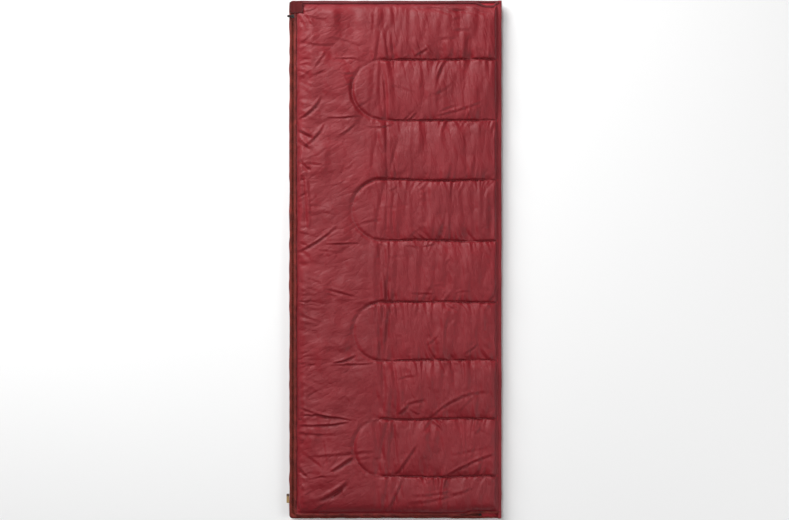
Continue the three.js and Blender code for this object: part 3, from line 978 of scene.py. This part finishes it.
# ---- spine: one tape round both quilts' edges, which unrolls as the cover opens ----
def spine_section():
    """The tape's closed section round the hinge line, from its outer face and back along its inner one."""
    outer = [(-0.0076, 0.0070), (-0.0055, 0.0063), (-0.0030, 0.0056), (0.0, 0.0050), (0.0028, 0.0038),
             (0.0042, 0.0015)]
    inner = [(-0.0074, 0.0063), (-0.0054, 0.0056), (-0.0030, 0.0049), (0.0, 0.0043), (0.0023, 0.0031),
             (0.0035, 0.0013)]
    around = outer + [(x, -z) for x, z in outer[::-1]]
    back = [(x, -z) for x, z in inner] + inner[::-1]
    return around + back


spine_path = spaced([(HINGE_X, lower_head_high[1]), (HINGE_X, zip_low[1])], 0.004)
spine_piece = swept("spine_tape_binding", spine_path, spine_section()[::-1], 1, 0.00030, 470)
dress(spine_piece, None, "binding", spine_painted_light_material, "spine_binding")
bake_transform(spine_piece)


# ---------------- Zip ----------------
def coil(name, body, node):
    """A flattened nylon helix that fills its CAD strip."""
    pitch, wire, steps, sides = 0.0022, 0.00042, 8, 4
    width = 0.0023
    low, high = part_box(node)
    path = zip_line(width / 2, high[1], high[0], low[0], low[1], pitch / steps)
    inward = edge_normals(path)
    turn = 2 * math.pi * np.arange(len(path)) / steps
    across, up = (width / 2 - wire) * np.cos(turn), 0.00024 + (0.00104 - wire) * np.sin(turn)
    centre = np.column_stack([path + inward * across[:, None], ZIP_PLANE + up])
    ahead = units(np.gradient(centre, axis=0))
    first = units(np.cross(ahead, (0, 0, 1)))
    second = np.cross(ahead, first)
    spin = 2 * math.pi * np.arange(sides) / sides
    ring = np.cos(spin)[None, :, None] * first[:, None] + np.sin(spin)[None, :, None] * second[:, None]
    teeth = mesh_object(name, centre[:, None] + wire * ring, tube_faces(len(centre), sides))
    dress(teeth, body, "zip_coil", coil_material, node)


def zip_tape(name, outer_inset, inner_inset, section, node, body):
    """A woven tape between two lines inset from the lower quilt's edge, thinned where it carries its coil."""
    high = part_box(node)[1]
    outer, inner = (zip_line(inset, high[1], high[0], zip_low[0], zip_low[1], 0.004)
                    for inset in (outer_inset, inner_inset))
    stations = np.linspace(0, 1, len(outer))
    matched = [np.interp(stations, np.linspace(0, 1, len(inner)), inner[:, k]) for k in (0, 1)]
    section = np.array(section)
    share = section[:, :1]
    across = outer[:, None] * (1 - share) + np.stack(matched, -1)[:, None] * share
    height = np.broadcast_to(ZIP_PLANE + section[:, 1], across.shape[:2])
    vertices = np.dstack([across, height])
    tape = mesh_object(name, vertices, tube_faces(*vertices.shape[:2]))
    dress(tape, body, "zip_tape", zip_tape_material, node)


CARRIER_TOP, CARRIER_FOOT, TAPE_HALF = -0.00090, -0.00128, 0.00038
LOWER_TAPE_SECTION = [
    (0.0, -TAPE_HALF), (0.0, TAPE_HALF), (0.70, TAPE_HALF), (0.80, CARRIER_TOP), (1.0, CARRIER_TOP),
    (1.0, CARRIER_FOOT), (0.77, CARRIER_FOOT), (0.66, -TAPE_HALF),
]
COVER_TAPE_SECTION = [
    (0.0, CARRIER_FOOT), (0.0, CARRIER_TOP), (0.19, CARRIER_TOP), (0.27, TAPE_HALF), (1.0, TAPE_HALF),
    (1.0, -TAPE_HALF), (0.30, -TAPE_HALF), (0.23, CARRIER_FOOT),
]
zip_tape("lower_zip_tape_cloth", 0.0012, 0.0120, LOWER_TAPE_SECTION, "lower_zip_tape", "lower_quilt")
zip_tape("cover_zip_tape_cloth", 0.0130, 0.0256, COVER_TAPE_SECTION, "cover_zip_tape", "cover")

coil("lower_zip_teeth", "lower_quilt", "lower_zip_coil")
coil("cover_zip_teeth", "cover", "cover_zip_coil")


def softened(node, name, body, width):
    """A copy of a CAD metal part with its edges rounded."""
    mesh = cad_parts[node].data.copy()
    mesh.materials.clear()
    piece = link_object(name, mesh)
    weld = piece.modifiers.new("weld", "WELD")
    weld.merge_threshold = 0.00001
    round_edges(piece, width).angle_limit = math.radians(35)
    dress(piece, body, "zip_metal", enamel_material, node)


METAL_PARTS = [
    ("slider", "body", "slider", 0.0003),
    ("pull", "tag", "pull", 0.0003),
    ("top_stop", "clamp", "lower_quilt", 0.0002),
    ("retaining_box", "block", "lower_quilt", 0.0002),
    ("insertion_pin", "rod", "cover", 0.0002),
]
for part, form, body, width in METAL_PARTS:
    softened(f"zip_{part}", f"zip_{part}_{form}", body, width)


def repaint(node, material):
    """A CAD node whose own shape is kept, in a finished material."""
    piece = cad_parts[node]
    piece.data.materials.clear()
    piece.data.materials.append(material)


repaint("tab_hook_patch", hook_material)
repaint("lower_loop_patch", hook_material)


# ---------------- Closure tab and label ----------------
def strap(name, line, y0, y1, thickness, corner=0.0, crumple=None):
    """A strap following a line of (x, z) points, with round corners at its first end."""
    across = np.linspace(-1, 1, 17)
    middle, half = (y0 + y1) / 2, (y1 - y0) / 2
    vertices = []
    for x, z in line:
        near = max(corner - abs(x - line[0, 0]), 0)
        trim = corner - math.sqrt(corner**2 - near**2) if near else 0
        for share in across:
            y = middle + (half - trim) * share
            vertices.append((x, y, z + crumple(x, y) if crumple else z))
    faces = grid_quads(len(line), len(across))[:, [0, 3, 2, 1]].tolist()
    piece = mesh_object(name, vertices, faces)
    solid = piece.modifiers.new("thickness", "SOLIDIFY")
    solid.thickness = thickness
    solid.offset = -1
    round_edges(piece, thickness * 0.3)
    return piece


def tab_line():
    """From the free end on the lower quilt's corner, up over the cover's binding, to the sewn end."""
    fractions = [(0.0, 0.0), (0.16, 0.0), (0.29, 0.01), (0.335, 0.20), (0.37, 0.38), (0.45, 0.44),
                 (0.56, 0.49), (0.75, 0.72), (1.0, 1.0)]
    low, high = tab_low[2] + 0.0012, tab_high[2]
    span = tab_high[0] - tab_low[0]
    return spaced([(tab_low[0] + span * a, low + (high - low) * b) for a, b in fractions], 0.0012)


def tab_crumple(x, y):
    """How far the tab's raised part buckles up and down."""
    raised = smoothstep((x - tab_low[0] - 0.019) / 0.010) * smoothstep((tab_high[0] - x) / 0.010)
    buckle = noise_at((x + 0.8 * y) / 0.011 + 60, (y - 0.8 * x) / 0.024 + 9, 96)
    return 0.0016 * raised * (buckle - 0.4)


closure_tab_line = tab_line()
tab_strap = strap(
    "closure_tab_strap", closure_tab_line, tab_low[1], tab_high[1], 0.0011, 0.006, tab_crumple)
dress(tab_strap, "tab", "binding", tab_material, "closure_tab")


def label_line():
    """Out from the seam, round the fold and back."""
    middle, radius = (label_low[2] + label_high[2]) / 2, (label_high[2] - label_low[2]) / 2 - 0.0003
    fold = [(label_low[0] + radius + 0.0002 - radius * math.cos(a), middle + radius * math.sin(a))
            for a in np.linspace(math.pi / 2, -math.pi / 2, 9)]
    return spaced([(label_high[0], middle + radius), *fold, (label_high[0], middle - radius)], 0.0006)


label_tag = strap("side_label_tag", label_line(), label_low[1], label_high[1], 0.0003)
dress(label_tag, "lower_quilt", "label", tag_material, "side_label")


# ---------------- Stitching ----------------
def stitch_mesh(name, centres, directions, length=0.0028, radius=0.00032):
    """Short threads, each a spindle lying along its own direction."""
    directions = units(directions)
    sideways = units(np.stack([-directions[:, 1], directions[:, 0], np.zeros(len(directions))], -1))
    upward = np.cross(directions, sideways)
    rings = []
    for share, swell in ((-0.5, 0.35), (-0.25, 1.0), (0.25, 1.0), (0.5, 0.35)):
        for a, b in ((1, 0), (0, 1), (-1, 0), (0, -1)):
            rings.append(centres + directions * length * share + radius * swell * (a * sideways + b * upward))
    starts = np.arange(len(centres))[:, None, None] * len(rings)
    faces = starts + np.array(flipped(tube_faces(4, 4)))
    return mesh_object(name, np.stack(rings, axis=1), faces.reshape(-1, 4).tolist())


def quilting_lines(edges, step):
    """The quilting seams as even points: out along the upper run, round the end and back."""
    lines, end = [], edges[1] - 0.004
    for (high, low), (middle, radius) in zip(SEAM_ROWS, SEAM_ENDS):
        line = spaced([(end, high), *arc(ARC_X, middle, radius, 90, 270, 60), (end, low)], step)
        line[:, 1] = strayed(line[:, 0], line[:, 1], edges)
        lines.append(line)
    return lines


def quilting_stitches(name, piece, edges, side, body, slot):
    """Stitches lying in a layer's grooves, on its outer face."""
    tree, away = surface_tree(piece), Vector((0, 0, -side))
    centres, directions = [], []
    for line in quilting_lines(edges, 0.0042):
        ahead = np.gradient(line, axis=0)
        for (x, y), (dx, dy) in zip(line, ahead):
            hit = tree.ray_cast(Vector((x, y, ZIP_PLANE + 0.1 * side)), away)[0]
            if hit is not None:
                centres.append((x, y, hit.z + side * 0.0003))
                directions.append((dx, dy, 0.0))
    dress(stitch_mesh(name, np.array(centres), np.array(directions)), body, slot, thread_material)


def binding_stitches(name, path, inset, side, body):
    """A row of stitches along the inner edge of a folded tape."""
    line = spaced(path + edge_normals(path) * inset, 0.0040)
    ahead = np.gradient(line, axis=0)
    centres = np.column_stack([line, np.full(len(line), ZIP_PLANE + side * TAPE_TOP)])
    directions = np.column_stack([ahead, np.zeros(len(line))])
    dress(stitch_mesh(name, centres, directions), body, "binding", tape_thread_material)


def tab_top(x, y):
    """Where stitches lie on the tab."""
    return np.interp(x, closure_tab_line[:, 0], closure_tab_line[:, 1]) + 0.0002 + tab_crumple(x, y)


def tab_stitches():
    """A sewn rectangle near the tab's border."""
    inset, step = 0.0022, 0.0005
    x0, x1 = tab_low[0] + inset + 0.002, tab_high[0] - inset
    y0, y1 = tab_low[1] + inset, tab_high[1] - inset
    line = spaced([(x0, y0), (x1, y0), (x1, y1), (x0, y1), (x0, y0)], 0.0036)
    x, y = line[:, 0], line[:, 1]
    height = tab_top(x, y)
    slope = (tab_top(x + step, y) - height) / step
    ahead = np.gradient(line, axis=0)
    directions = np.column_stack([ahead, slope * ahead[:, 0]])
    stitches = stitch_mesh("closure_tab_stitches", np.column_stack([line, height]), directions)
    dress(stitches, "tab", "binding", tape_thread_material)


tab_stitches()
quilting_stitches("cover_casing_stitches", cover_casing, COVER_EDGES, 1, "cover", "casing")
quilting_stitches("cover_lining_stitches", cover_lining, COVER_EDGES, -1, "cover", "lining")
quilting_stitches("lower_lining_stitches", lower_lining, LOWER_EDGES, 1, "lower_quilt", "lining")
quilting_stitches("lower_casing_stitches", lower_casing, LOWER_EDGES, -1, "lower_quilt", "casing")
for hem, path, reach, leg, side, body in BINDINGS:
    binding_stitches(hem + "_binding_stitches", path, reach - 0.0016, side, body)


# ---------------- Stage ----------------
def area_light(name, place, aim, size, power):
    data = bpy.data.lights.new(name, "AREA")
    data.shape = "RECTANGLE"
    data.size, data.size_y = size
    data.energy = power
    light = link_object(name, data)
    light.location = place
    light.rotation_euler = (Vector(aim) - Vector(place)).to_track_quat("-Z", "Y").to_euler()


def floor():
    """A pale floor, which glows a little where the lights don't reach."""
    half = 12
    finish = Finish("floor")
    distance = finish.add("VectorMath", "Value", {0: finish.place}, operation="LENGTH")
    reach = {"Value": distance, "From Min": 1.7, "From Max": 5.0, "To Min": 0.0, "To Max": 0.55}
    material = finish.done({
        "Base Color": (0.86, 0.86, 0.86, 1),
        "Roughness": 0.9,
        "Emission Color": (1, 1, 1, 1),
        "Emission Strength": finish.add("MapRange", "Result", reach, interpolation_type="SMOOTHSTEP"),
    })
    corners = [(-half, -half, 0), (half, -half, 0), (half, half, 0), (-half, half, 0)]
    piece = mesh_object("floor", corners, [(0, 1, 2, 3)])
    piece.data.materials.append(material)


def studio():
    area_light("key", (-2.4, 3.6, 2.5), (0, 0, 0), (3.2, 2.6), 325)
    area_light("softbox", (-0.9, 0.9, 5.0), (-0.9, 0.9, 0), (1.0, 4.8), 104)
    area_light("fill", (3.2, -1.4, 2.6), (0, 0, 0), (2.6, 2.6), 62)
    world = bpy.data.worlds.new("studio")
    world.use_nodes = True
    graph = Graph(world.node_tree)
    wall, room = 0.66, 0.085  # how bright the backdrop looks, and how much light it gives
    seen = graph.add("LightPath", "Is Camera Ray", {})
    strength = graph.scaled(seen, wall - room, room)
    graph.connect(graph.nodes["Background"], {"Color": (1, 1, 1, 1), "Strength": strength})
    bpy.context.scene.world = world
    bpy.context.scene.view_settings.view_transform = "Standard"


def main_camera():
    data = bpy.data.cameras.new("camera")
    data.lens = 85
    data.sensor_width = 36
    camera = link_object("camera", data)
    picture_width = 2.780  # width of the ground that the picture spans, at the bag's height
    camera.location = (0.0020, -0.0018, 0.05 + picture_width * data.lens / data.sensor_width)
    bpy.context.scene.camera = camera


floor()
studio()
main_camera()
